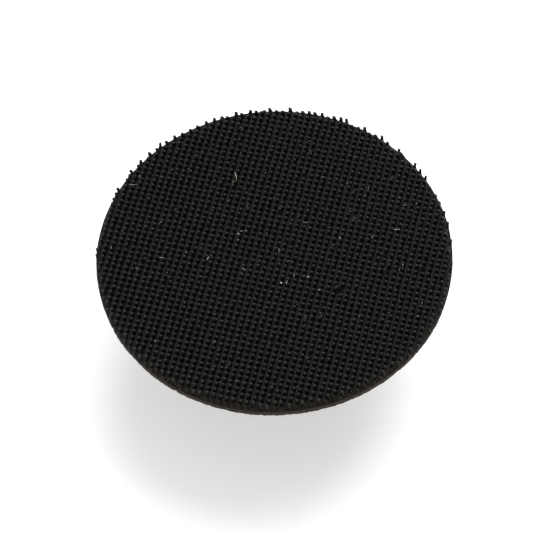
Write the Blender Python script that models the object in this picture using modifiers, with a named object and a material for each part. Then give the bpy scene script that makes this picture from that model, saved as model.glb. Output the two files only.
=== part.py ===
"""Backing pad of an orbital sander: 76 mm (3 inch), hook face, no dust holes, riveted plate, 5/16-24 stud.

Metres, +Z up. The origin is the centre of the hub's seat, where the sander's spindle bears. The stud points
down from it and the hook face looks up, so the layers from z = 0 upwards are hub, backing plate, clamp plate,
foam, adhesive and hook sheet. Pieces that touch on the real pad are drawn GAP apart.
"""

import math

import bmesh
import bpy
from mathutils import Matrix

MM = 0.001
GAP = 0.3 * MM

PAD_RADIUS = 38 * MM
FACE_SEGMENTS = 96
PLATE_SEGMENTS = 72
SMALL_SEGMENTS = 24

WEB_THICKNESS = 0.5 * MM
HOOK_HEIGHT = 1.9 * MM
ADHESIVE_THICKNESS = 0.3 * MM
FACE_ADHESIVE_RADIUS = PAD_RADIUS - 0.2 * MM

FOAM_THICKNESS = 9.9 * MM
FOAM_RIM_HEIGHT = 0.5 * MM
FOAM_RIM_RADIUS = PAD_RADIUS - 0.1 * MM
FOAM_BASE_RADIUS = 26.6 * MM
FOAM_WAIST_HOLLOW = 0.9 * MM
FOAM_FLANK_POINTS = 5
FOAM_POCKET_RADIUS = 15.8 * MM

PLATE_RADIUS = 27 * MM
PLATE_THICKNESS = 2.4 * MM
PLATE_CHAMFER = 0.4 * MM

CLAMP_RADIUS = 15 * MM
CLAMP_THICKNESS = 1.2 * MM
CLAMP_CHAMFER = 0.25 * MM

BOSS_RADIUS = 8.5 * MM
BOSS_HEIGHT = 3 * MM
BOSS_CHAMFER = 0.5 * MM
FLANGE_RADIUS = 16 * MM
FLANGE_THICKNESS = 1.5 * MM
FLANGE_CHAMFER = 0.3 * MM

STUD_RADIUS = 7.938 / 2 * MM
STUD_LENGTH = 12.7 * MM
STUD_CHAMFER = 0.9 * MM
STUD_HEAD_FLATS = 12.7 * MM
STUD_HEAD_CHAMFER = 0.25 * MM

RIVET_COUNT = 6
RIVET_CIRCLE_RADIUS = 12 * MM
RIVET_SHANK_RADIUS = 1.5 * MM
RIVET_HEAD_RADIUS = 2.8 * MM
RIVET_HEAD_HEIGHT = 1.3 * MM
RIVET_CLINCH_RADIUS = 2.4 * MM
RIVET_CLINCH_HEIGHT = 1.0 * MM
RIVET_DOME_POINTS = 4

# Heights of the layers, each GAP above the one below it.
FLANGE_BOTTOM = BOSS_HEIGHT
FLANGE_TOP = FLANGE_BOTTOM + FLANGE_THICKNESS
PLATE_BOTTOM = FLANGE_TOP + GAP
PLATE_TOP = PLATE_BOTTOM + PLATE_THICKNESS
CLAMP_BOTTOM = PLATE_TOP + GAP
CLAMP_TOP = CLAMP_BOTTOM + CLAMP_THICKNESS
CLINCH_BOTTOM = CLAMP_TOP + GAP
CLINCH_TOP = CLINCH_BOTTOM + RIVET_CLINCH_HEIGHT
PLATE_ADHESIVE_BOTTOM = PLATE_TOP + GAP
FOAM_BOTTOM = PLATE_ADHESIVE_BOTTOM + ADHESIVE_THICKNESS + GAP
FOAM_TOP = FOAM_BOTTOM + FOAM_THICKNESS
FACE_ADHESIVE_BOTTOM = FOAM_TOP + GAP
HOOK_SHEET_BOTTOM = FACE_ADHESIVE_BOTTOM + ADHESIVE_THICKNESS + GAP

# The pocket over the clamp plate clears the clinched rivets also when the foam is pressed down.
FOAM_POCKET_DEPTH = CLINCH_TOP - FOAM_BOTTOM + 0.9 * MM
STUD_BORE_RADIUS = STUD_RADIUS + GAP
RIVET_HOLE_RADIUS = RIVET_SHANK_RADIUS + GAP
CUTTER_OVERSHOOT = 1 * MM
SCREW_MERGE = 0.01 * MM
SHARP_ANGLE = math.radians(35)


def clear_scene():
    for obj in list(bpy.data.objects):
        bpy.data.objects.remove(obj)


def new_collection(name):
    collection = bpy.data.collections.new(name)
    bpy.context.scene.collection.children.link(collection)
    return collection


def new_material(name, color, roughness, metallic=0.0):
    material = bpy.data.materials.new(name)
    material.use_nodes = True
    shader = material.node_tree.nodes["Principled BSDF"]
    shader.inputs["Base Color"].default_value = (*color, 1)
    shader.inputs["Roughness"].default_value = roughness
    shader.inputs["Metallic"].default_value = metallic
    return material


def outline_mesh(name, profile, closed):
    """The edges of a turned shape's profile, as (radius, height) points in the XZ plane."""
    count = len(profile)
    edges = [(i, (i + 1) % count) for i in range(count if closed else count - 1)]
    mesh = bpy.data.meshes.new(name)
    mesh.from_pydata([(radius, 0, height) for radius, height in profile], edges, [])
    return mesh


def turned(name, profile, segments, closed=False):
    """A solid turned about Z. The profile runs down the outer side, and is closed where there is a bore."""
    obj = bpy.data.objects.new(name, outline_mesh(name, profile, closed))
    screw = obj.modifiers.new("turn", "SCREW")
    screw.steps = segments
    screw.render_steps = segments
    screw.use_merge_vertices = True
    screw.merge_threshold = SCREW_MERGE
    return obj


def round_cutter(name, radius, height, segments=SMALL_SEGMENTS):
    """A cylinder about Z, or a hexagonal bar with segments=6, with its middle at the origin."""
    form = bmesh.new()
    bmesh.ops.create_cone(
        form, cap_ends=True, segments=segments, radius1=radius, radius2=radius, depth=height
    )
    mesh = bpy.data.meshes.new(name)
    form.to_mesh(mesh)
    form.free()
    return bpy.data.objects.new(name, mesh)


def combine(obj, other, operation):
    boolean = obj.modifiers.new(other.name, "BOOLEAN")
    boolean.operation = operation
    boolean.object = other


def chamfered_disc(radius, thickness, chamfer):
    """Profile of a disc that stands on z = 0, with both edges chamfered."""
    return [
        (0, thickness),
        (radius - chamfer, thickness),
        (radius, thickness - chamfer),
        (radius, chamfer),
        (radius - chamfer, 0),
        (0, 0),
    ]


def plain_disc(radius, thickness):
    return [(0, thickness), (radius, thickness), (radius, 0), (0, 0)]


def washer(inner, outer, thickness):
    return [(inner, thickness), (outer, thickness), (outer, 0), (inner, 0)]


def rivet_places():
    for i in range(RIVET_COUNT):
        angle = 2 * math.pi * (i + 0.5) / RIVET_COUNT
        yield RIVET_CIRCLE_RADIUS * math.cos(angle), RIVET_CIRCLE_RADIUS * math.sin(angle)


class Pad:
    """Collects the pieces and their cutters as they are made."""

    def __init__(self):
        self.parts = new_collection("sander_backing_pad")
        self.cutters = new_collection("cutters")

    def add(self, obj, material, height=0.0):
        self.parts.objects.link(obj)
        obj.location.z = height
        if not obj.data.materials:
            obj.data.materials.append(material)
        return obj

    def cut(self, obj, cutter, place=(0, 0)):
        self.cutters.objects.link(cutter)
        cutter.location = (*place, obj.location.z)
        cutter.hide_render = True
        cutter.display_type = "WIRE"
        combine(obj, cutter, "DIFFERENCE")

    def drill_rivet_holes(self, obj, thickness):
        for i, place in enumerate(rivet_places()):
            name = f"{obj.name}_rivet_drill_{i + 1}"
            drill = round_cutter(name, RIVET_HOLE_RADIUS, 2 * (thickness + CUTTER_OVERSHOOT))
            self.cut(obj, drill, place)

    def bake_shapes(self):
        """Turns each piece's modifiers into its mesh, and shades its round faces smooth."""
        bpy.context.view_layer.update()
        graph = bpy.context.evaluated_depsgraph_get()
        for obj in self.parts.objects:
            if obj.type != "MESH" or not obj.modifiers:
                continue
            mesh = bpy.data.meshes.new_from_object(obj.evaluated_get(graph))
            obj.modifiers.clear()
            obj.data = mesh
            mesh.shade_smooth()
            mesh.set_sharp_from_angle(angle=SHARP_ANGLE)


def add_hook_sheet(pad, face):
    """The moulded hook tape: its web, and the layer that its hooks stand in."""
    black_nylon = new_material("black_nylon", (0.012, 0.012, 0.012), 0.6)
    profile = plain_disc(PAD_RADIUS, WEB_THICKNESS + HOOK_HEIGHT)
    sheet = turned("hook_sheet", profile, FACE_SEGMENTS)
    pad.add(sheet, black_nylon, HOOK_SHEET_BOTTOM - face.location.z).parent = face


def add_face_adhesive(pad, face):
    brown_adhesive = new_material("brown_adhesive", (0.09, 0.055, 0.03), 0.55)
    film = turned("face_adhesive", plain_disc(FACE_ADHESIVE_RADIUS, ADHESIVE_THICKNESS), FACE_SEGMENTS)
    pad.add(film, brown_adhesive, FACE_ADHESIVE_BOTTOM - face.location.z).parent = face


def foam_profile():
    """Down the rim, in along the slightly hollow flank to the plate, and up into the clamp plate's pocket."""
    rim_bottom = FOAM_THICKNESS - FOAM_RIM_HEIGHT
    profile = [(0, FOAM_THICKNESS), (FOAM_RIM_RADIUS, FOAM_THICKNESS), (FOAM_RIM_RADIUS, rim_bottom)]
    for i in range(1, FOAM_FLANK_POINTS + 1):
        share = i / FOAM_FLANK_POINTS
        radius = FOAM_RIM_RADIUS + (FOAM_BASE_RADIUS - FOAM_RIM_RADIUS) * share
        hollow = FOAM_WAIST_HOLLOW * math.sin(math.pi * share)
        profile.append((radius - hollow, rim_bottom * (1 - share)))
    profile.append((FOAM_POCKET_RADIUS, 0))
    profile.append((FOAM_POCKET_RADIUS, FOAM_POCKET_DEPTH))
    profile.append((0, FOAM_POCKET_DEPTH))
    return profile


def add_foam_cushion(pad):
    charcoal_foam = new_material("charcoal_foam", (0.02, 0.018, 0.016), 0.9)
    pad.add(turned("foam_cushion", foam_profile(), FACE_SEGMENTS), charcoal_foam, FOAM_BOTTOM)


def add_plate_adhesive(pad):
    amber_adhesive = new_material("amber_adhesive", (0.25, 0.13, 0.04), 0.5)
    profile = washer(FOAM_POCKET_RADIUS, FOAM_BASE_RADIUS, ADHESIVE_THICKNESS)
    film = turned("plate_adhesive", profile, PLATE_SEGMENTS, closed=True)
    pad.add(film, amber_adhesive, PLATE_ADHESIVE_BOTTOM)


def add_clamp_plate(pad, steel):
    profile = chamfered_disc(CLAMP_RADIUS, CLAMP_THICKNESS, CLAMP_CHAMFER)
    clamp = pad.add(turned("clamp_plate", profile, PLATE_SEGMENTS), steel, CLAMP_BOTTOM)
    pad.drill_rivet_holes(clamp, CLAMP_THICKNESS)


def hexagon_radius(flats):
    return flats / 2 / math.cos(math.pi / 6)


def add_backing_plate(pad):
    """The laminate disc that the foam is bonded to. Its hexagonal hole keeps the stud's head from turning."""
    glass_laminate = new_material("glass_laminate", (0.05, 0.045, 0.035), 0.5)
    profile = chamfered_disc(PLATE_RADIUS, PLATE_THICKNESS, PLATE_CHAMFER)
    plate = pad.add(turned("backing_plate", profile, PLATE_SEGMENTS), glass_laminate, PLATE_BOTTOM)
    pad.drill_rivet_holes(plate, PLATE_THICKNESS)
    broach_radius = hexagon_radius(STUD_HEAD_FLATS + 2 * GAP)
    broach = round_cutter("stud_head_broach", broach_radius, 2 * (PLATE_THICKNESS + CUTTER_OVERSHOOT), 6)
    pad.cut(plate, broach)


def hub_profile():
    """Down the flange, in to the boss, down to the seat at z = 0, and back up the stud's bore."""
    return [
        (STUD_BORE_RADIUS, FLANGE_TOP),
        (FLANGE_RADIUS - FLANGE_CHAMFER, FLANGE_TOP),
        (FLANGE_RADIUS, FLANGE_TOP - FLANGE_CHAMFER),
        (FLANGE_RADIUS, FLANGE_BOTTOM + FLANGE_CHAMFER),
        (FLANGE_RADIUS - FLANGE_CHAMFER, FLANGE_BOTTOM),
        (BOSS_RADIUS, FLANGE_BOTTOM),
        (BOSS_RADIUS, BOSS_CHAMFER),
        (BOSS_RADIUS - BOSS_CHAMFER, 0),
        (STUD_BORE_RADIUS, 0),
    ]


def add_hub_flange(pad, steel):
    hub = pad.add(turned("hub_flange", hub_profile(), PLATE_SEGMENTS, closed=True), steel)
    pad.drill_rivet_holes(hub, FLANGE_TOP)


def add_threaded_stud(pad, steel):
    """A stud at its thread's outer diameter, with a thin hexagonal head that lies in the backing plate."""
    shank_profile = [
        (0, PLATE_BOTTOM + PLATE_THICKNESS / 2),
        (STUD_RADIUS, PLATE_BOTTOM + PLATE_THICKNESS / 2),
        (STUD_RADIUS, STUD_CHAMFER - STUD_LENGTH),
        (STUD_RADIUS - STUD_CHAMFER, -STUD_LENGTH),
        (0, -STUD_LENGTH),
    ]
    stud = pad.add(turned("threaded_stud", shank_profile, SMALL_SEGMENTS), steel)
    head = round_cutter("stud_head", hexagon_radius(STUD_HEAD_FLATS), PLATE_THICKNESS, 6)
    bevel = head.modifiers.new("chamfer", "BEVEL")
    bevel.width = STUD_HEAD_CHAMFER
    bevel.segments = 1
    pad.cutters.objects.link(head)
    head.location.z = PLATE_BOTTOM + PLATE_THICKNESS / 2
    head.hide_render = True
    head.display_type = "WIRE"
    combine(stud, head, "UNION")


def dome(radius, height, points):
    """(radius, height) points of a low dome from its top to its rim, on one circular arc."""
    sphere = (radius**2 + height**2) / (2 * height)
    widest = math.asin(radius / sphere)
    for i in range(points + 1):
        angle = widest * i / points
        yield sphere * math.sin(angle), height - sphere * (1 - math.cos(angle))


def rivet_profile():
    """Clinched end on top, shank, and domed factory head below. z = 0 is the flange's lower face."""
    profile = [
        (r, CLINCH_BOTTOM - FLANGE_BOTTOM + h)
        for r, h in dome(RIVET_CLINCH_RADIUS, RIVET_CLINCH_HEIGHT, RIVET_DOME_POINTS)
    ]
    profile.append((RIVET_SHANK_RADIUS, CLINCH_BOTTOM - FLANGE_BOTTOM))
    profile.append((RIVET_SHANK_RADIUS, -GAP))
    head = [(r, -GAP - h) for r, h in dome(RIVET_HEAD_RADIUS, RIVET_HEAD_HEIGHT, RIVET_DOME_POINTS)]
    return profile + head[::-1]


def add_rivets(pad):
    """All the rivets share the first one's profile mesh until their shapes are baked."""
    zinc = new_material("rivet_zinc", (0.55, 0.55, 0.53), 0.35, 1.0)
    first = None
    for i, place in enumerate(rivet_places()):
        rivet = turned(f"rivet_{i + 1}", rivet_profile(), SMALL_SEGMENTS)
        if first:
            rivet.data = first.data
        first = first or rivet
        pad.add(rivet, zinc, FLANGE_BOTTOM)
        rivet.location.x, rivet.location.y = place


def build():
    clear_scene()
    pad = Pad()
    steel = new_material("zinc_plated_steel", (0.5, 0.5, 0.49), 0.38, 1.0)
    face = bpy.data.objects.new("face_press_axis", None)
    face.matrix_world = Matrix.Translation((0, 0, FOAM_TOP))
    pad.parts.objects.link(face)
    add_hook_sheet(pad, face)
    add_face_adhesive(pad, face)
    add_foam_cushion(pad)
    add_plate_adhesive(pad)
    add_clamp_plate(pad, steel)
    add_backing_plate(pad)
    add_hub_flange(pad, steel)
    add_threaded_stud(pad, steel)
    add_rivets(pad)
    pad.bake_shapes()


build()
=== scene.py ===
"""Looks of the sander's backing pad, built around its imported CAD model. Lengths are in metres."""

import math

import bmesh
import bpy
import numpy as np
from mathutils import Euler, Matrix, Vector, noise


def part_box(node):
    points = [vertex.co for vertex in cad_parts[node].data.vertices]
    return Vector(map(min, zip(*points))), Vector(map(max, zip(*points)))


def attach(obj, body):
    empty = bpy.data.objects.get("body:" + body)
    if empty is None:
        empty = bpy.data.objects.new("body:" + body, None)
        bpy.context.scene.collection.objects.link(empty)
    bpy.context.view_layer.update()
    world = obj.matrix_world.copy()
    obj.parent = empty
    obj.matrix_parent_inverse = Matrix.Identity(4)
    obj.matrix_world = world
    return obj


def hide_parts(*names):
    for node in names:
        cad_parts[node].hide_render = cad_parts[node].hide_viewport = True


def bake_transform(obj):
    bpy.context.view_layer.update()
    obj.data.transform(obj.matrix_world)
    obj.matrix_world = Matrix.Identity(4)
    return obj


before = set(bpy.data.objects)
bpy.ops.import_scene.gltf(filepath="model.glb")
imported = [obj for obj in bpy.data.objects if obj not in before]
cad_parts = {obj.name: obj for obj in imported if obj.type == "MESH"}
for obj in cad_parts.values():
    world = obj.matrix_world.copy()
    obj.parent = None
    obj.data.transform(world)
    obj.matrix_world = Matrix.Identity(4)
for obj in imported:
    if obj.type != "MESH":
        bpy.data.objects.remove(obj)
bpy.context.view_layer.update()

MM = 0.001

# Hook tape. The lattice's shift is in pitches, along and across.
HOOK_PITCH_ALONG = 1.428 * MM
HOOK_PITCH_ACROSS = 1.341 * MM
LATTICE_TURN = math.radians(-16.83)
LATTICE_SKEW = math.radians(0.86)
LATTICE_SHIFT = (0.208, -0.076)
HOOK_FACING = LATTICE_TURN - math.radians(90.0)
HOOK_HEIGHT = 1.88 * MM
HOOK_SEED = 5
HOOK_PIECES = 4
FOOT_OVERHANG = 0.08 * MM
HOOK_INSET = 0.04 * MM
WEB_THICKNESS = 0.5 * MM
WEB_INSET = 0.03 * MM

# The hooks close to the rim, which the punch cut through, and the damaged ones
EDGE_BAND = 0.75 * MM
STUBS_IN_EDGE_BAND = 0.20
BENT_SHARE = 0.02
BROKEN_SHARE = 0.006

# Foam. Its pocket takes the clamp plate and the clinched rivets.
FOAM_SEGMENTS = 640
FOAM_STEP = 0.36 * MM
FOAM_RIM_HEIGHT = 0.5 * MM
FLANK_HOLLOW = 0.9 * MM
POCKET_RADIUS = 15.8 * MM
POCKET_TOP = 10.9 * MM
PORE_SIZE = 0.95 * MM
PORE_REACH = 0.55
PORE_DEPTH = 0.10 * MM

# Bond lines
FACE_BOND = 0.4 * MM
PLATE_BOND = 0.45 * MM

# Backing plate, hub, stud and rivets
HUB_BORE_RADIUS = 4.27 * MM
BOSS_RADIUS = 8.5 * MM
PLATE_CHAMFER = 0.4 * MM
FLANGE_BOTTOM = 3.0 * MM
THREAD_RADIUS = 3.969 * MM
THREAD_PITCH = 25.4 / 24 * MM
THREAD_DEPTH = 0.6 * MM
THREAD_TOP = 3.4 * MM
NECK_RADIUS = THREAD_RADIUS - 0.3 * MM
THREAD_SEGMENTS = 72
THREAD_STEPS = 14
STUD_CHAMFER = 0.9 * MM
HEX_WIDTH = 12.7 * MM
HEX_CORNER = HEX_WIDTH / math.sqrt(3.0)
HEX_CHAMFER = 0.25 * MM
HEX_CHAMFER_SCALE = 0.93
RIVET_COUNT = 6
RIVET_SHANK_RADIUS = 1.5 * MM

# How many straight pieces a full turn is made of: on plate and hub, on the uneven rims, on the rivets
PLATE_SEGMENTS = 256
RIM_SEGMENTS = 384
RIVET_SEGMENTS = 48

# Camera, fitted to the outline of the disc
CAMERA_ELEVATION = math.radians(57.3)
CAMERA_DISTANCE = 0.54
CAMERA_ROLL = math.radians(-2.9)
CAMERA_LENS = 169.1
AIM_LEFT = 1.03 * MM
AIM_DOWN = 3.00 * MM

# Studio: a large soft light behind and above the pad, over a pale floor
FLOOR_REACH = 3.0
WORLD_STRENGTH = 0.68
KEY_PLACE = (0.20, 0.42, 0.78)
KEY_SIZE = 0.7
KEY_POWER = 8.2
FLOOR_GLOW = 0.30

foam_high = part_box("foam_cushion")[1]
sheet_low, sheet_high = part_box("hook_sheet")
plate_low, plate_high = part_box("backing_plate")
bond_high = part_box("plate_adhesive")[1]
clamp_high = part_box("clamp_plate")[1]
hub_low, hub_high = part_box("hub_flange")
stud_low, stud_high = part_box("threaded_stud")

FACE_RADIUS = sheet_high.x
WEB_BOTTOM = sheet_low.z
WEB_TOP = sheet_low.z + WEB_THICKNESS
FOAM_TOP = WEB_BOTTOM - FACE_BOND
FOAM_BOTTOM = plate_high.z + PLATE_BOND
BOND_INNER_RADIUS = clamp_high.x + 0.8 * MM


# ---------------------------------------------------------------- materials

class Finish:
    """A material: one Principled shader and the nodes that feed it, in the part's own coordinates."""

    def __init__(self, name, color, roughness, metallic=0.0, specular=0.5):
        self.material = bpy.data.materials.new(name)
        self.material.use_nodes = True
        self.tree = self.material.node_tree
        self.shader = self.tree.nodes["Principled BSDF"]
        self.shader.inputs["Metallic"].default_value = metallic
        self.shader.inputs["Roughness"].default_value = roughness
        self.shader.inputs["Base Color"].default_value = (*color, 1.0)
        self.shader.inputs["Specular IOR Level"].default_value = specular
        self.place = self.add("ShaderNodeTexCoord").outputs["Object"]

    def add(self, kind, **settings):
        """A new shader node, with its properties set."""
        node = self.tree.nodes.new(kind)
        for key, value in settings.items():
            setattr(node, key, value)
        return node

    def link(self, value, socket):
        """Feeds a socket from another node's output, or sets it to a plain value."""
        if isinstance(value, bpy.types.NodeSocket):
            self.tree.links.new(value, socket)
        else:
            socket.default_value = value

    def noise(self, size, detail=3.0, rough=0.55):
        """Cloudy noise with features of about this size."""
        node = self.add("ShaderNodeTexNoise")
        self.link(self.place, node.inputs["Vector"])
        node.inputs["Scale"].default_value = 1.0 / size
        node.inputs["Detail"].default_value = detail
        node.inputs["Roughness"].default_value = rough
        return node.outputs["Fac"]

    def cells(self, size, feature="F1"):
        """Distance to the nearest cell's centre, or to its edge, for cells of about this size."""
        node = self.add("ShaderNodeTexVoronoi", feature=feature)
        self.link(self.place, node.inputs["Vector"])
        node.inputs["Scale"].default_value = 1.0 / size
        return node.outputs["Distance"]

    def waves(self, size, direction, rings=False, wobble=1.0):
        """Stripes of this spacing along an axis, or rings round it."""
        node = self.add("ShaderNodeTexWave", wave_type="RINGS" if rings else "BANDS")
        if rings:
            node.rings_direction = direction
        else:
            node.bands_direction = direction
        self.link(self.place, node.inputs["Vector"])
        node.inputs["Scale"].default_value = math.pi / 10.0 / size
        node.inputs["Distortion"].default_value = wobble
        node.inputs["Detail"].default_value = 2.0
        node.inputs["Detail Scale"].default_value = 1.5
        return node.outputs["Fac"]

    def along(self, axis):
        """A point's X, Y or Z in the part's own coordinates, in metres."""
        node = self.add("ShaderNodeSeparateXYZ")
        self.link(self.place, node.inputs["Vector"])
        return node.outputs[axis]

    def radius(self):
        """How far a point is from the spindle's axis, in metres."""
        flat = self.add("ShaderNodeVectorMath", operation="MULTIPLY")
        self.link(self.place, flat.inputs[0])
        flat.inputs[1].default_value = (1.0, 1.0, 0.0)
        length = self.add("ShaderNodeVectorMath", operation="LENGTH")
        self.link(flat.outputs["Vector"], length.inputs[0])
        return length.outputs["Value"]

    def fit(self, value, low, high, to_low=0.0, to_high=1.0):
        """A value's range stretched onto another range."""
        node = self.add("ShaderNodeMapRange")
        self.link(value, node.inputs["Value"])
        node.inputs["From Min"].default_value = low
        node.inputs["From Max"].default_value = high
        node.inputs["To Min"].default_value = to_low
        node.inputs["To Max"].default_value = to_high
        return node.outputs["Result"]

    def times(self, first, second):
        node = self.add("ShaderNodeMath", operation="MULTIPLY")
        self.link(first, node.inputs[0])
        self.link(second, node.inputs[1])
        return node.outputs["Value"]

    def mix(self, share, first, second):
        """From the first colour to the second as share goes from 0 to 1."""
        node = self.add("ShaderNodeMix", data_type="RGBA")
        self.link(share, node.inputs["Factor"])
        for color, socket in ((first, node.inputs["A"]), (second, node.inputs["B"])):
            self.link((*color, 1.0) if isinstance(color, tuple) else color, socket)
        return node.outputs["Result"]

    def color(self, value):
        self.link(value, self.shader.inputs["Base Color"])

    def roughness(self, value):
        self.link(value, self.shader.inputs["Roughness"])

    def bump(self, *layers):
        """Bumps one on another: (height from 0 to 1, depth in metres)."""
        normal = None
        for height, depth in layers:
            node = self.add("ShaderNodeBump")
            self.link(height, node.inputs["Height"])
            node.inputs["Distance"].default_value = depth
            node.inputs["Strength"].default_value = 1.0
            if normal:
                self.link(normal, node.inputs["Normal"])
            normal = node.outputs["Normal"]
        self.link(normal, self.shader.inputs["Normal"])


def black_nylon():
    """Moulded nylon: near black, satin, rubbed paler on the crowns of the hooks and towards the rim."""
    finish = Finish("black_nylon", (0.012, 0.012, 0.012), 0.45, specular=0.22)
    blotches = finish.fit(finish.noise(5.0 * MM), 0.35, 0.65)
    grain = finish.noise(0.12 * MM)
    worn = finish.fit(finish.along("Z"), WEB_TOP + 1.25 * MM, WEB_TOP + HOOK_HEIGHT)
    plain = finish.mix(blotches, (0.0056, 0.0055, 0.0050), (0.0088, 0.0086, 0.0077))
    tone = finish.fit(finish.noise(1.5 * MM, 1.0), 0.35, 0.65)
    rubbed = finish.mix(tone, (0.0082, 0.0081, 0.0073), (0.0190, 0.0186, 0.0167))
    frayed = finish.fit(finish.radius(), FACE_RADIUS - 1.8 * MM, FACE_RADIUS - 0.6 * MM, 0.0, 0.6)
    color = finish.mix(worn, plain, rubbed)
    finish.color(finish.mix(frayed, color, (0.0215, 0.0211, 0.0193)))
    finish.roughness(finish.fit(finish.noise(0.4 * MM), 0.3, 0.7, 0.36, 0.60))
    finish.bump((grain, 0.012 * MM))
    return finish.material


def brown_and_shaded_side(finish):
    """1 along the rim's -Y side, fading to 0 further round: there the rim is painted browner and darker,
    a brown tint plus painted shade on the side away from the key light.
    """
    return finish.fit(finish.along("Y"), -0.92 * FACE_RADIUS, -0.35 * FACE_RADIUS, 1.0, 0.0)


def cut_nylon():
    """The hooks at the rim, cut through by the punch, dusty, and painted browner and darker along the
    rim's -Y side: a brown tint plus painted shade away from the key light.
    """
    finish = Finish("cut_nylon", (0.009, 0.007, 0.006), 0.8, specular=0.05)
    dust = finish.fit(finish.noise(0.5 * MM, 4.0), 0.35, 0.65)
    grey = finish.mix(dust, (0.0210, 0.0206, 0.0190), (0.0410, 0.0402, 0.0372))
    # Brown tint plus painted shade: the darker colour for the rim's -Y side, away from the key light
    brown_and_shade = finish.mix(dust, (0.0110, 0.0088, 0.0072), (0.0225, 0.0178, 0.0144))
    finish.color(finish.mix(brown_and_shaded_side(finish), grey, brown_and_shade))
    finish.roughness(finish.fit(finish.noise(0.3 * MM), 0.3, 0.7, 0.75, 0.90))
    finish.bump((finish.noise(0.12 * MM), 0.015 * MM))
    return finish.material


def web_nylon():
    """The web between the hooks: the same nylon, duller, dusty, and at the rim painted browner and
    darker on the -Y side: a brown tint plus painted shade away from the key light.
    """
    finish = Finish("web_nylon", (0.010, 0.010, 0.010), 0.6, specular=0.08)
    dust = finish.fit(finish.noise(0.25 * MM, 5.0), 0.45, 0.75)
    top = finish.mix(dust, (0.0140, 0.0136, 0.0121), (0.0245, 0.0237, 0.0210))
    # Brown tint plus painted shade: the web's edge on the rim's -Y side, away from the key light,
    # painted darker
    edge = finish.mix(dust, (0.0115, 0.0092, 0.0075), (0.0205, 0.0162, 0.0130))
    share = finish.fit(finish.radius(), FACE_RADIUS - 1.8 * MM, FACE_RADIUS - 0.4 * MM)
    brown_and_shade = finish.times(share, brown_and_shaded_side(finish))
    finish.color(finish.mix(brown_and_shade, top, edge))
    finish.roughness(finish.fit(finish.noise(0.6 * MM), 0.3, 0.7, 0.65, 0.85))
    finish.bump((finish.noise(0.1 * MM), 0.02 * MM))
    return finish.material


def face_adhesive():
    """Brown contact adhesive, cut through with the pad's edge."""
    finish = Finish("brown_adhesive", (0.04, 0.027, 0.018), 0.5, specular=0.15)
    smears = finish.fit(finish.noise(1.2 * MM, 4.0), 0.35, 0.7)
    finish.color(finish.mix(smears, (0.020, 0.0135, 0.0095), (0.048, 0.0335, 0.0235)))
    finish.roughness(finish.fit(finish.noise(0.5 * MM), 0.3, 0.7, 0.4, 0.7))
    finish.bump((finish.noise(0.3 * MM), 0.05 * MM))
    return finish.material


def plate_adhesive():
    """Amber glue, squeezed out a little round the backing plate."""
    finish = Finish("amber_adhesive", (0.25, 0.13, 0.04), 0.35)
    depth = finish.fit(finish.noise(1.5 * MM, 4.0), 0.3, 0.7)
    finish.color(finish.mix(depth, (0.16, 0.075, 0.022), (0.34, 0.19, 0.07)))
    finish.roughness(finish.fit(finish.noise(0.6 * MM), 0.3, 0.7, 0.22, 0.5))
    finish.bump((finish.noise(0.8 * MM), 0.08 * MM))
    finish.shader.inputs["Coat Weight"].default_value = 0.2
    return finish.material


def foam():
    """Cut closed-cell foam: dull charcoal, with dark pores between thin pale cell walls."""
    finish = Finish("charcoal_foam", (0.03, 0.026, 0.023), 0.9, specular=0.12)
    walls = finish.fit(finish.cells(0.42 * MM, "DISTANCE_TO_EDGE"), 0.02, 0.30)
    fine = finish.cells(0.17 * MM)
    patches = finish.fit(finish.noise(4.0 * MM), 0.3, 0.7)
    large = finish.fit(finish.cells(1.1 * MM), 0.12, 0.30)
    cells = finish.mix(walls, (0.058, 0.0490, 0.0415), (0.016, 0.0134, 0.0115))
    skin = finish.mix(patches, (0.021, 0.0172, 0.0145), (0.034, 0.0283, 0.0240))
    cut = finish.mix(0.35, cells, skin)
    rim = finish.fit(finish.radius(), FACE_RADIUS - 1.5 * MM, FACE_RADIUS - 0.2 * MM, 0.0, 0.6)
    cut = finish.mix(rim, cut, (0.062, 0.0465, 0.0370))
    finish.color(finish.mix(large, (0.0075, 0.0062, 0.0053), cut))
    finish.roughness(finish.fit(patches, 0.0, 1.0, 0.82, 0.95))
    finish.bump(
        (finish.fit(walls, 0.0, 1.0, 1.0, 0.0), 0.10 * MM),
        (large, 0.12 * MM),
        (fine, 0.04 * MM),
    )
    return finish.material


def laminate():
    """Glass-fibre laminate: a woven cloth under dark resin, its plies showing round the cut edge."""
    finish = Finish("glass_laminate", (0.05, 0.045, 0.035), 0.4)
    weft = finish.waves(0.85 * MM, "X", wobble=0.6)
    warp = finish.waves(0.85 * MM, "Y", wobble=0.6)
    weave = finish.times(weft, warp)
    plies = finish.times(finish.waves(0.3 * MM, "Z", wobble=0.8), finish.noise(0.35 * MM, 4.0))
    cut = finish.fit(finish.radius(), plate_high.x - 0.45 * MM, plate_high.x - 0.25 * MM)
    stain = finish.fit(finish.noise(7.0 * MM), 0.3, 0.7)
    resin = finish.mix(stain, (0.030, 0.025, 0.017), (0.052, 0.043, 0.027))
    cloth = finish.mix(stain, (0.085, 0.074, 0.050), (0.120, 0.100, 0.064))
    face = finish.mix(weave, resin, cloth)
    edge = finish.mix(finish.fit(plies, 0.1, 0.5), (0.020, 0.017, 0.012), (0.105, 0.088, 0.058))
    finish.color(finish.mix(cut, face, edge))
    finish.roughness(finish.fit(finish.noise(1.0 * MM), 0.3, 0.7, 0.28, 0.5))
    relief = finish.times(weave, finish.fit(cut, 0.0, 1.0, 1.0, 0.0))
    finish.bump((relief, 0.03 * MM), (finish.noise(0.3 * MM), 0.01 * MM))
    return finish.material


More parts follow.
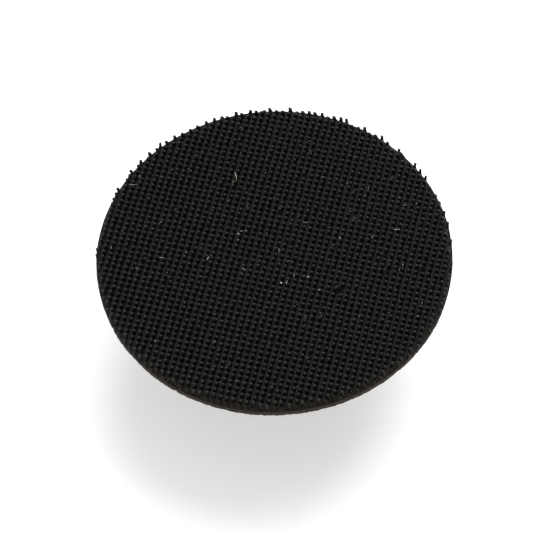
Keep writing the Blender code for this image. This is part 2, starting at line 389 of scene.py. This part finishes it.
def zinc(name, tone, marks=True):
    """Zinc-plated steel: pale, a little blotched and stained, with rings of turning marks or without."""
    finish = Finish(name, tone, 0.35, metallic=1.0)
    cool = tuple(0.90 * t * k for t, k in zip(tone, (0.97, 1.0, 1.04)))
    warm = tuple(1.02 * t * k for t, k in zip(tone, (1.03, 1.0, 0.92)))
    dark = tuple(0.45 * t for t in tone)
    blotches = finish.fit(finish.noise(3.0 * MM, 5.0), 0.35, 0.65)
    stains = finish.fit(finish.noise(1.1 * MM, 6.0, 0.7), 0.60, 0.80, 0.0, 0.4)
    finish.color(finish.mix(stains, finish.mix(blotches, cool, warm), dark))
    finish.roughness(finish.fit(finish.noise(0.7 * MM, 5.0), 0.3, 0.7, 0.27, 0.50))
    layers = [(finish.noise(0.15 * MM), 0.008 * MM)]
    if marks:
        layers.append((finish.waves(0.20 * MM, "Z", rings=True, wobble=0.3), 0.015 * MM))
    finish.bump(*layers)
    return finish.material


def lint():
    """Pale loop fibres and sanding dust caught on the hooks."""
    finish = Finish("pale_lint", (0.30, 0.28, 0.25), 0.8)
    shade = finish.fit(finish.noise(3.0 * MM), 0.3, 0.7)
    finish.color(finish.mix(shade, (0.30, 0.29, 0.26), (0.60, 0.58, 0.54)))
    finish.bump((finish.noise(0.05 * MM), 0.005 * MM))
    return finish.material


def pale_floor():
    """A pale matt floor with a faint glow, which keeps it close to white."""
    finish = Finish("pale_floor", (0.92, 0.92, 0.91), 0.9, specular=0.1)
    cloud = finish.noise(150.0 * MM, 2.0)
    finish.color(finish.mix(cloud, (0.91, 0.91, 0.905), (0.93, 0.93, 0.925)))
    finish.shader.inputs["Emission Color"].default_value = (1.0, 1.0, 1.0, 1.0)
    finish.shader.inputs["Emission Strength"].default_value = FLOOR_GLOW
    return finish.material


# ---------------------------------------------------------------- mesh helpers

# A point closer than this to the Z axis counts as on it.
ON_AXIS = 1e-7


def make_object(name, points, faces, material):
    """A mesh object in the scene, with one material."""
    mesh = bpy.data.meshes.new(name)
    mesh.from_pydata([tuple(p) for p in points], [], faces)
    mesh.materials.append(material)
    mesh.update()
    piece = bpy.data.objects.new(name, mesh)
    bpy.context.scene.collection.objects.link(piece)
    return piece


def smooth(piece, angle=35.0):
    """Smooth shading, with edges sharper than the angle kept crisp."""
    piece.data.shade_smooth()
    piece.data.set_sharp_from_angle(angle=math.radians(angle))
    return piece


def rounded(corners, arc_points=4):
    """An outline through corners (radius, height, rounding), each corner turned into a small arc."""
    points = []
    for i, (r, z, rounding) in enumerate(corners):
        here = np.array([r, z])
        if rounding <= 0.0 or i in (0, len(corners) - 1):
            points.append(here)
            continue
        back = np.array(corners[i - 1][:2]) - here
        ahead = np.array(corners[i + 1][:2]) - here
        reach = min(rounding, 0.49 * np.linalg.norm(back), 0.49 * np.linalg.norm(ahead))
        start = here + back / np.linalg.norm(back) * reach
        end = here + ahead / np.linalg.norm(ahead) * reach
        for t in np.linspace(0.0, 1.0, arc_points + 1):
            points.append((1 - t) ** 2 * start + 2 * t * (1 - t) * here + t ** 2 * end)
    return np.array(points)


def refined(outline, step):
    """The same outline with no two points further apart than step."""
    points = [outline[0]]
    for first, second in zip(outline[:-1], outline[1:]):
        count = max(1, math.ceil(np.linalg.norm(second - first) / step))
        for k in range(1, count + 1):
            points.append(first + (second - first) * k / count)
    return np.array(points)


def lathe(name, outline, material, segments, ring=False):
    """Turns an outline of (radius, height) about the Z axis. A ring's outline closes on itself."""
    turns = np.linspace(0.0, 2 * math.pi, segments, endpoint=False)
    points = []
    starts = []
    for r, z in outline:
        starts.append(len(points))
        if r < ON_AXIS:
            points.append((0.0, 0.0, z))
        else:
            points.extend(zip(r * np.cos(turns), r * np.sin(turns), np.full(segments, z)))
    faces = []
    pairs = list(zip(range(len(outline) - 1), range(1, len(outline))))
    if ring:
        pairs.append((len(outline) - 1, 0))
    for low, high in pairs:
        for k in range(segments):
            after = (k + 1) % segments
            if outline[low][0] < ON_AXIS:
                face = (starts[low], starts[high] + after, starts[high] + k)
            elif outline[high][0] < ON_AXIS:
                face = (starts[low] + k, starts[low] + after, starts[high])
            else:
                face = (starts[low] + k, starts[low] + after, starts[high] + after, starts[high] + k)
            faces.append(face)
    return make_object(name, points, faces, material)


def roughened(piece, depth, size, limit):
    """Moves a turned piece's points in and out a little, none past the limit, as on an uneven edge."""
    for vertex in piece.data.vertices:
        radius = math.hypot(vertex.co.x, vertex.co.y)
        if radius < ON_AXIS:
            continue
        push = depth * (noise.noise(vertex.co / size) - 0.5)
        push = min(push, limit - radius)
        vertex.co.x *= 1.0 + push / radius
        vertex.co.y *= 1.0 + push / radius
    return piece


# ---------------------------------------------------------------- hook tape

# One hook in profile, from the web up to its tip, in mm: along, up, width, thickness.
HOOK_STATIONS = (
    (-0.05, -0.06, 1.04, 1.10),
    (-0.05, 0.06, 0.88, 0.98),
    (-0.06, 0.30, 0.72, 0.83),
    (-0.06, 0.70, 0.59, 0.69),
    (-0.02, 1.08, 0.51, 0.60),
    (0.06, 1.40, 0.46, 0.58),
    (0.18, 1.61, 0.38, 0.61),
    (0.34, 1.66, 0.32, 0.60),
    (0.48, 1.55, 0.25, 0.51),
    (0.54, 1.41, 0.15, 0.37),
)
# The corners of a hook's section, as shares of half its width and half its thickness.
HOOK_RING = ((1, -0.5), (1, 0.5), (0.6, 1), (-0.6, 1), (-1, 0.5), (-1, -0.5), (-0.6, -1), (0.6, -1))


def hook_template():
    """Points and faces of one hook that leans towards +X, with its foot at the origin."""
    stations = np.array(HOOK_STATIONS) * MM
    middle = stations[:, :2]
    along = np.gradient(middle, axis=0)
    along /= np.linalg.norm(along, axis=1)[:, None]
    points = []
    for (x, z), (ax, az), width, thick in zip(middle, along, stations[:, 2], stations[:, 3]):
        for side, out in HOOK_RING:
            reach = 0.5 * width * side
            points.append((x + az * reach, 0.5 * thick * out, z - ax * reach))
    ring = len(HOOK_RING)
    faces = []
    for level in range(len(stations) - 1):
        for k in range(ring):
            after = (k + 1) % ring
            low, high = level * ring, (level + 1) * ring
            faces.append((low + k, low + after, high + after, high + k))
    faces.append(tuple(reversed(range(ring))))
    last = (len(stations) - 1) * ring
    faces.append(tuple(range(last, last + ring)))
    return np.array(points), faces


def hook_feet():
    """Where the hooks stand on the web, row by row, as (x, y)."""
    reach = int(FACE_RADIUS / HOOK_PITCH_ACROSS) + 2
    along = np.array([math.cos(LATTICE_TURN), math.sin(LATTICE_TURN)])
    square = LATTICE_TURN + LATTICE_SKEW
    across = np.array([-math.sin(square), math.cos(square)])
    feet = []
    for row in range(-reach, reach + 1):
        for column in range(-reach, reach + 1):
            foot = along * (column + LATTICE_SHIFT[0]) * HOOK_PITCH_ALONG
            foot = foot + across * (row + LATTICE_SHIFT[1]) * HOOK_PITCH_ACROSS
            if np.linalg.norm(foot) < FACE_RADIUS + FOOT_OVERHANG:
                feet.append(foot)
    return np.array(feet)


def hook_shapes(feet, rng):
    """How each hook differs from the template: turn, lean along and across, height."""
    count = len(feet)
    turn = rng.normal(0.0, 0.15, count)
    lean = rng.normal(0.0, 0.065, (count, 2))
    height = rng.normal(1.0, 0.02, count)
    bent = rng.random(count) < BENT_SHARE
    turn[bent] += rng.normal(0.0, 0.45, bent.sum())
    lean[bent] += rng.normal(0.0, 0.22, (bent.sum(), 2))
    broken = rng.random(count) < BROKEN_SHARE
    edge = np.linalg.norm(feet, axis=1) > FACE_RADIUS - EDGE_BAND
    broken |= edge & (rng.random(count) < STUBS_IN_EDGE_BAND)
    height[broken] *= rng.uniform(0.25, 0.8, broken.sum())
    return turn, lean, height


def hook_points(feet, rng):
    """Every hook's points, cut off at the edge of the disc as a punch would cut them."""
    template, faces = hook_template()
    turn, lean, height = hook_shapes(feet, rng)
    angle = HOOK_FACING + turn
    x, y, z = template.T
    up = height[:, None] * z[None, :]
    x = x[None, :] + lean[:, :1] * up
    y = y[None, :] + lean[:, 1:] * up
    points = np.stack([
        feet[:, :1] + np.cos(angle)[:, None] * x - np.sin(angle)[:, None] * y,
        feet[:, 1:] + np.sin(angle)[:, None] * x + np.cos(angle)[:, None] * y,
        WEB_TOP + np.minimum(up, sheet_high.z - WEB_TOP),
    ], axis=2)
    radius = np.linalg.norm(points[:, :, :2], axis=2)
    limit = FACE_RADIUS - HOOK_INSET
    points[:, :, :2] *= np.minimum(1.0, limit / radius)[:, :, None]
    return points, faces


def build_hooks(nylon, worn_nylon):
    """The hooks: a few pieces of whole rows, and one piece of those that the punch cut through."""
    rng = np.random.default_rng(HOOK_SEED)
    feet = hook_feet()
    points, faces = hook_points(feet, rng)
    cut = np.linalg.norm(feet, axis=1) > FACE_RADIUS - EDGE_BAND
    blocks = np.array_split(points[~cut], HOOK_PIECES)
    groups = [(f"hook_rows_{k}", block, nylon) for k, block in enumerate(blocks, 1)]
    groups.append(("hooks_cut_at_rim", points[cut], worn_nylon))
    pieces = []
    size = points.shape[1]
    for name, group, material in groups:
        all_faces = [tuple(i + k * size for i in face) for k in range(len(group)) for face in faces]
        piece = make_object(name, group.reshape(-1, 3), all_faces, material)
        pieces.append(smooth(piece, 50.0))
    return pieces


def build_web(material):
    """The sheet that the hooks are moulded on, its edge punched a little unevenly."""
    corners = (
        (0.0, WEB_BOTTOM, 0.0),
        (FACE_RADIUS - WEB_INSET, WEB_BOTTOM, 0.05 * MM),
        (FACE_RADIUS - WEB_INSET, WEB_TOP, 0.12 * MM),
        (0.0, WEB_TOP, 0.0),
    )
    outline = refined(rounded(corners), 0.8 * MM)
    web = lathe("hook_web", outline, material, RIM_SEGMENTS)
    roughened(web, 0.05 * MM, 1.2 * MM, FACE_RADIUS)
    return smooth(web, 50.0)


# ---------------------------------------------------------------- foam and bond lines

def build_face_bond(material):
    """The adhesive between foam and hook tape, bulging a little and punched unevenly."""
    corners = (
        (0.0, FOAM_TOP, 0.0),
        (FACE_RADIUS - 0.12 * MM, FOAM_TOP, 0.0),
        (FACE_RADIUS - 0.10 * MM, 0.5 * (FOAM_TOP + WEB_BOTTOM), 0.1 * MM),
        (FACE_RADIUS - 0.14 * MM, WEB_BOTTOM, 0.0),
        (0.0, WEB_BOTTOM, 0.0),
    )
    bond = lathe("face_bond", refined(rounded(corners), 1.5 * MM), material, RIM_SEGMENTS)
    roughened(bond, 0.06 * MM, 0.8 * MM, FACE_RADIUS)
    return smooth(bond, 50.0)


def flank(top_radius, bottom_radius, top, bottom, count=24):
    """The foam's cut side: it tapers in towards the plate along a shallow hollow."""
    points = []
    for t in np.linspace(0.0, 1.0, count + 1):
        hollow = FLANK_HOLLOW * math.sin(math.pi * t)
        radius = top_radius + (bottom_radius - top_radius) * t
        points.append((radius - hollow, top + (bottom - top) * t))
    return points


def build_foam(material):
    """The cushion, with a pocket in its foot and open pores in its cut side."""
    rim = foam_high.x
    foot = bond_high.x
    rim_low = foam_high.z - FOAM_RIM_HEIGHT
    corners = [(0.0, FOAM_TOP, 0.0), (rim, FOAM_TOP, 0.1 * MM), (rim, rim_low, 0.15 * MM)]
    corners += [(r, z, 0.0) for r, z in flank(rim, foot, rim_low, FOAM_BOTTOM)[1:-1]]
    corners += [(foot, FOAM_BOTTOM, 0.15 * MM), (POCKET_RADIUS, FOAM_BOTTOM, 0.0)]
    side = refined(rounded(corners)[1:-1][::-1], FOAM_STEP)
    pocket = [(0.0, POCKET_TOP), (POCKET_RADIUS, POCKET_TOP), (POCKET_RADIUS, FOAM_BOTTOM)]
    top = [(r, FOAM_TOP) for r in np.linspace(side[-1][0], 0.0, 8)[1:]]
    piece = lathe("foam", np.array([*pocket, *side, *top]), material, FOAM_SEGMENTS)
    open_pores(piece, rim, foot)
    return smooth(piece, 60.0)


def open_pores(piece, rim, foot):
    """Presses rounded pores into the foam's cut side, and makes the rest of it slightly uneven."""
    for vertex in piece.data.vertices:
        co = vertex.co
        radius = math.hypot(co.x, co.y)
        on_top = co.z > foam_high.z + 0.3 * MM
        in_pocket = radius < foot - 2.0 * MM
        if on_top or in_pocket:
            continue
        middle = noise.voronoi(co / PORE_SIZE)[0][0]
        pore = max(0.0, PORE_REACH - middle) / PORE_REACH
        wave = noise.noise(co / (3.5 * MM)) * 0.10 * MM
        grain = PORE_DEPTH * (noise.noise(co / (0.5 * MM)) - 0.3)
        push = wave - PORE_DEPTH * 2.0 * pore + grain
        push = min(push, rim - radius)
        co.x *= 1.0 + push / radius
        co.y *= 1.0 + push / radius


def build_plate_bond(material):
    """The glue line between foam and backing plate, with a small uneven bead round it."""
    outer = plate_high.x - 0.25 * MM
    corners = (
        (BOND_INNER_RADIUS, plate_high.z, 0.0),
        (outer, plate_high.z, 0.0),
        (outer + 0.1 * MM, 0.5 * (plate_high.z + FOAM_BOTTOM), 0.2 * MM),
        (outer - 0.1 * MM, FOAM_BOTTOM, 0.0),
        (BOND_INNER_RADIUS, FOAM_BOTTOM, 0.0),
    )
    bead = lathe("plate_bond", refined(rounded(corners), 0.9 * MM), material, RIM_SEGMENTS, ring=True)
    roughened(bead, 0.35 * MM, 1.6 * MM, plate_high.x)
    return smooth(bead, 60.0)


# ---------------------------------------------------------------- back of the pad

def build_plate(material):
    """The laminate backing plate, with its edges broken and a little uneven."""
    hole = HEX_CORNER + 0.3 * MM
    rim, low, high = plate_high.x, plate_low.z, plate_high.z
    corners = (
        (hole, low, 0.0),
        (rim - PLATE_CHAMFER, low, 0.25 * MM),
        (rim, low + PLATE_CHAMFER, 0.25 * MM),
        (rim, high - PLATE_CHAMFER, 0.25 * MM),
        (rim - PLATE_CHAMFER, high, 0.25 * MM),
        (hole, high, 0.0),
    )
    outline = refined(rounded(corners), 1.2 * MM)
    plate = lathe("laminate_plate", outline, material, PLATE_SEGMENTS, ring=True)
    roughened(plate, 0.05 * MM, 1.0 * MM, rim)
    return smooth(plate, 40.0)


def build_hub(material):
    """The turned hub: a boss with the spindle's seat, on a flange, with every edge broken."""
    bore, boss, flange = HUB_BORE_RADIUS, BOSS_RADIUS, hub_high.x
    seat = hub_low.z
    corners = (
        (bore, plate_low.z, 0.0),
        (bore, seat + 0.35 * MM, 0.0),
        (bore + 0.35 * MM, seat, 0.1 * MM),
        (boss - 0.5 * MM, seat, 0.15 * MM),
        (boss, seat + 0.5 * MM, 0.15 * MM),
        (boss, FLANGE_BOTTOM - 0.05 * MM, 0.45 * MM),
        (boss + 0.5 * MM, FLANGE_BOTTOM, 0.3 * MM),
        (flange - 0.3 * MM, FLANGE_BOTTOM, 0.15 * MM),
        (flange, FLANGE_BOTTOM + 0.3 * MM, 0.15 * MM),
        (flange, plate_low.z, 0.0),
    )
    hub = lathe("hub", refined(rounded(corners), 1.5 * MM), material, PLATE_SEGMENTS, ring=True)
    return smooth(hub, 30.0)


def thread_radius(angle, z):
    """The thread's radius at an angle and height: a right-handed V with flat crests and roots."""
    turn = (z / THREAD_PITCH - angle / (2 * math.pi)) % 1.0
    wave = abs(2.0 * turn - 1.0)
    share = min(1.0, max(0.0, (wave - 0.125) / 0.70))
    return THREAD_RADIUS - THREAD_DEPTH + THREAD_DEPTH * share


def shank_radius(angle, z):
    """The stud's radius: its thread, chamfered at the end and run out inside the hub."""
    radius = min(thread_radius(angle, z), THREAD_RADIUS - STUD_CHAMFER + (z - stud_low.z))
    fade = min(1.0, max(0.0, (THREAD_TOP - z) / (1.5 * THREAD_PITCH)))
    return radius * fade + NECK_RADIUS * (1.0 - fade)


def head_radius(angle, z):
    """The radius of the stud's hexagonal head, chamfered at its two faces."""
    flat = 0.5 * HEX_WIDTH / math.cos((angle + math.pi / 6) % (math.pi / 3) - math.pi / 6)
    at_face = min(z - plate_low.z, stud_high.z - z) < 0.5 * HEX_CHAMFER
    return flat * (HEX_CHAMFER_SCALE if at_face else 1.0)


def stud_ring(z, radius_at):
    """One level of the stud, as points round the axis."""
    points = []
    for k in range(THREAD_SEGMENTS):
        angle = 2 * math.pi * k / THREAD_SEGMENTS
        radius = radius_at(angle, z)
        points.append((radius * math.cos(angle), radius * math.sin(angle), z))
    return points


def build_stud(material):
    """The threaded stud with its thin hexagonal head."""
    end, head_low, head_high = stud_low.z, plate_low.z, stud_high.z
    shank = [stud_ring(z, shank_radius) for z in np.arange(end, THREAD_TOP, THREAD_PITCH / THREAD_STEPS)]
    levels = (head_low, head_low + HEX_CHAMFER, head_high - HEX_CHAMFER, head_high)
    head = [stud_ring(z, head_radius) for z in levels]
    rings = shank + head
    points = [point for ring in rings for point in ring]
    points += [(0.0, 0.0, end + 0.05 * MM), (0.0, 0.0, head_high)]
    end_middle, head_middle = len(points) - 2, len(points) - 1
    last = (len(rings) - 1) * THREAD_SEGMENTS
    faces = []
    for k in range(THREAD_SEGMENTS):
        after = (k + 1) % THREAD_SEGMENTS
        for low in range(0, last, THREAD_SEGMENTS):
            high = low + THREAD_SEGMENTS
            faces.append((low + k, low + after, high + after, high + k))
        faces.append((after, k, end_middle))
        faces.append((last + k, last + after, head_middle))
    return smooth(make_object("stud", points, faces, material), 30.0)


def rivet_outline(low, head, high):
    """Up from the middle of the domed head, along the shank, to the middle of the clinched head."""
    crown = FLANGE_BOTTOM - 0.3 * MM - low
    outline = [(0.0, low)]
    for turn in np.linspace(0.15, 1.0, 9) * math.pi / 2:
        outline.append((head * math.sin(turn), low + crown * (1.0 - math.cos(turn))))
    outline += [
        (head, FLANGE_BOTTOM - 0.08 * MM),
        (head - 0.08 * MM, FLANGE_BOTTOM),
        (RIVET_SHANK_RADIUS, FLANGE_BOTTOM),
        (RIVET_SHANK_RADIUS, clamp_high.z),
        (2.4 * MM, clamp_high.z + 0.2 * MM),
        (2.1 * MM, high - 0.25 * MM),
        (1.2 * MM, high),
        (0.0, high),
    ]
    return np.array(outline)


def build_rivet(number, material):
    """A solid rivet, its domed head a little dented, its other end clinched on the clamp plate."""
    low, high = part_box(f"rivet_{number}")
    centre = (low + high) / 2
    outline = rivet_outline(low.z, (high.x - low.x) / 2, high.z)
    rivet = lathe(f"rivet_head_{number}", outline, material, RIVET_SEGMENTS)
    shift = Vector((number * 9.0 * MM, 0.0, 0.0))
    for vertex in rivet.data.vertices:
        if vertex.co.z < FLANGE_BOTTOM - 0.6 * MM:
            dent = 0.05 * MM * noise.noise((vertex.co + shift) / (1.8 * MM))
            vertex.co.z = max(vertex.co.z + dent, low.z)
        vertex.co.x += centre.x
        vertex.co.y += centre.y
    return smooth(rivet, 40.0)


# ---------------------------------------------------------------- lint

# The plainest fibres on the face, in mm: (x, y) of one end, bearing in degrees, length, thickness.
PLAIN_FIBRES = (
    (-7.6, 20.8, 286, 2.0, 0.13),
    (-6.9, 5.4, 12, 0.6, 0.09),
    (-13.9, -0.6, 240, 0.9, 0.16),
    (-18.6, 1.2, 272, 0.6, 0.13),
    (25.8, 4.0, 8, 1.2, 0.13),
    (-6.9, -3.9, 330, 0.9, 0.12),
    (-30.6, 18.9, 2, 1.8, 0.07),
    (27.2, -4.3, 255, 0.9, 0.13),
    (1.2, 0.6, 250, 1.1, 0.08),
    (-24.4, -0.2, 5, 0.9, 0.09),
    (-24.0, 8.7, 20, 0.5, 0.09),
    (19.9, 13.0, 15, 0.6, 0.09),
    (20.9, 14.8, 80, 0.5, 0.08),
    (4.0, -5.7, 275, 1.0, 0.06),
    (-9.3, 23.4, 10, 0.5, 0.09),
    (2.7, -2.7, 358, 0.7, 0.06),
    (-34.6, 2.6, 95, 0.5, 0.08),
)
# The plainest specks of dust, in mm: (x, y, size).
PLAIN_SPECKS = (
    (-7.4, 4.8, 0.48),
    (-5.8, 5.5, 0.30),
    (1.2, -8.0, 0.44),
    (2.3, -8.0, 0.36),
    (6.9, -6.8, 0.42),
    (14.2, 2.6, 0.34),
    (-28.3, 21.0, 0.28),
    (31.0, 10.4, 0.26),
    (30.4, -14.6, 0.26),
    (29.3, -17.8, 0.26),
    (9.1, -10.2, 0.26),
    (9.3, -16.6, 0.26),
    (-25.6, -20.8, 0.26),
    (16.5, 16.5, 0.22),
    (-7.5, 3.2, 0.22),
)
STRAY_FIBRES = 14
STRAY_SPECKS = 60
LINT_SEED = 11
FIBRE_STEPS = 9


def fibre_path(x, y, bearing, length, rng):
    """A short curled fibre that rests across the hooks' crowns."""
    bend = rng.normal(0.0, 0.05)
    heading = math.radians(bearing)
    height = sheet_high.z - rng.uniform(0.08, 0.22) * MM
    points = [(x, y, height)]
    for _ in range(FIBRE_STEPS):
        heading += bend + rng.normal(0.0, 0.10)
        height = min(height + rng.normal(0.0, 0.02) * MM, sheet_high.z - 0.08 * MM)
        x += math.cos(heading) * length / FIBRE_STEPS
        y += math.sin(heading) * length / FIBRE_STEPS
        points.append((x, y, height))
    return np.array(points)


def speck(x, y, size, rng):
    """Points and faces of one ragged grain of dust that sits on the crowns."""
    grain = bmesh.new()
    bmesh.ops.create_icosphere(grain, subdivisions=1, radius=0.5 * size)
    lift = sheet_high.z - 0.35 * size
    points = []
    for vertex in grain.verts:
        co = np.array(vertex.co) * rng.uniform(0.65, 1.1) * (1.0, 1.0, 0.6)
        points.append(co + (x, y, lift))
    faces = [tuple(vertex.index for vertex in face.verts) for face in grain.faces]
    grain.free()
    return points, faces


def tube(path, radius, sides=5):
    """Points and faces of a thin tube along a path, closed at both ends."""
    along = np.gradient(path, axis=0)
    along /= np.linalg.norm(along, axis=1)[:, None]
    side = np.cross(along, (0.0, 0.0, 1.0))
    side /= np.linalg.norm(side, axis=1)[:, None]
    top = np.cross(side, along)
    points = []
    for p, s, t, scale in zip(path, side, top, np.linspace(1.0, 0.6, len(path))):
        for k in range(sides):
            angle = 2 * math.pi * k / sides
            points.append(p + scale * radius * (math.cos(angle) * s + math.sin(angle) * t))
    faces = []
    for level in range(len(path) - 1):
        for k in range(sides):
            after = (k + 1) % sides
            low, high = level * sides, (level + 1) * sides
            faces.append((low + k, low + after, high + after, high + k))
    faces.append(tuple(reversed(range(sides))))
    faces.append(tuple(range(len(points) - sides, len(points))))
    return points, faces


def anywhere(rng):
    """A random place on the face."""
    radius = (FACE_RADIUS - 2.0 * MM) * math.sqrt(rng.random())
    angle = rng.uniform(0.0, 2 * math.pi)
    return radius * math.cos(angle), radius * math.sin(angle)


def build_lint(material):
    """Fibres pulled out of abrasive discs' loop backing, and dust, caught on the hooks."""
    rng = np.random.default_rng(LINT_SEED)
    fibres = []
    for x, y, bearing, length, thick in PLAIN_FIBRES:
        fibres.append((x * MM, y * MM, bearing, length * MM, thick * MM))
    for _ in range(STRAY_FIBRES):
        length = rng.uniform(0.4, 1.1) * MM
        fibres.append((*anywhere(rng), rng.uniform(0.0, 360.0), length, rng.uniform(0.04, 0.07) * MM))
    specks = [(x * MM, y * MM, size * MM) for x, y, size in PLAIN_SPECKS]
    for _ in range(STRAY_SPECKS):
        specks.append((*anywhere(rng), rng.uniform(0.10, 0.20) * MM))
    shapes = []
    for x, y, bearing, length, thick in fibres:
        shapes.append(tube(fibre_path(x, y, bearing, length, rng), 0.5 * thick))
    for x, y, size in specks:
        shapes.append(speck(x, y, size, rng))
    points, faces = [], []
    for more_points, more_faces in shapes:
        faces += [tuple(i + len(points) for i in face) for face in more_faces]
        points += list(more_points)
    return smooth(make_object("lint", points, faces, material), 60.0)


# ---------------------------------------------------------------- stage

def build_stage():
    """A pale floor under the stud's end, a pale world, and one large soft light."""
    corners = [(-FLOOR_REACH, -FLOOR_REACH, 0), (FLOOR_REACH, -FLOOR_REACH, 0)]
    corners += [(FLOOR_REACH, FLOOR_REACH, 0), (-FLOOR_REACH, FLOOR_REACH, 0)]
    floor = make_object("floor", corners, [(0, 1, 2, 3)], pale_floor())
    floor.location.z = stud_low.z
    world = bpy.data.worlds.new("studio")
    bpy.context.scene.world = world
    world.use_nodes = True
    background = world.node_tree.nodes["Background"]
    background.inputs["Color"].default_value = (1.0, 1.0, 1.0, 1.0)
    background.inputs["Strength"].default_value = WORLD_STRENGTH
    add_light("key", KEY_PLACE, KEY_SIZE, KEY_POWER)
    bpy.context.scene.view_settings.view_transform = "Standard"


def add_light(name, place, size, power):
    """A square soft light that points at the origin."""
    light = bpy.data.lights.new(name, "AREA")
    light.size = size
    light.energy = power
    lamp = bpy.data.objects.new(name, light)
    bpy.context.scene.collection.objects.link(lamp)
    lamp.location = place
    lamp.rotation_euler = (-Vector(place)).to_track_quat("-Z", "Y").to_euler()


def build_camera():
    """A long-lens camera that looks down on the hook face."""
    data = bpy.data.cameras.new("camera")
    data.lens = CAMERA_LENS
    data.sensor_width = 36.0
    data.clip_start = 0.01
    data.clip_end = 20.0
    camera = bpy.data.objects.new("camera", data)
    bpy.context.scene.collection.objects.link(camera)
    centre = Vector((0.0, 0.0, WEB_TOP))
    back = Vector((0.0, -math.cos(CAMERA_ELEVATION), math.sin(CAMERA_ELEVATION)))
    up = Vector((0.0, math.sin(CAMERA_ELEVATION), math.cos(CAMERA_ELEVATION)))
    aim = centre - Vector((AIM_LEFT, 0.0, 0.0)) - up * AIM_DOWN
    camera.location = centre + back * CAMERA_DISTANCE
    facing = (aim - camera.location).to_track_quat("-Z", "Y").to_matrix()
    turned = facing @ Euler((0.0, 0.0, CAMERA_ROLL)).to_matrix()
    camera.rotation_euler = turned.to_euler()
    bpy.context.scene.camera = camera


# ---------------------------------------------------------------- the pad

def add(piece, body, slot, *nodes):
    """Puts a piece on a body, and hides the CAD nodes that it stands for."""
    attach(piece, body)
    if nodes:
        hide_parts(*nodes)


def build_pad():
    """Every piece of the pad, from the hooks down. The clamp plate keeps its CAD shape."""
    for piece in build_hooks(black_nylon(), cut_nylon()):
        add(piece, "face", "black_nylon_hooks", "hook_sheet")
    add(build_web(web_nylon()), "face", "black_nylon_hooks", "hook_sheet")
    add(build_face_bond(face_adhesive()), "face", "brown_adhesive", "face_adhesive")
    add(build_lint(lint()), "face", "black_nylon_hooks")

    cushion = build_foam(foam())
    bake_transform(cushion)
    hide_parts("foam_cushion")

    steel = zinc("zinc_plated_steel", (0.51, 0.51, 0.49))
    add(build_plate_bond(plate_adhesive()), "backing", "amber_adhesive", "plate_adhesive")
    add(build_plate(laminate()), "backing", "glass_laminate", "backing_plate")
    add(build_hub(steel), "backing", "zinc_plated_steel", "hub_flange")
    add(build_stud(steel), "backing", "zinc_plated_steel", "threaded_stud")
    rivet_finish = zinc("rivet_zinc", (0.56, 0.56, 0.54), marks=False)
    for number in range(1, RIVET_COUNT + 1):
        add(build_rivet(number, rivet_finish), "backing", "rivet_zinc", f"rivet_{number}")
    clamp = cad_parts["clamp_plate"]
    clamp.data.materials.clear()
    clamp.data.materials.append(steel)


build_pad()
build_stage()
build_camera()
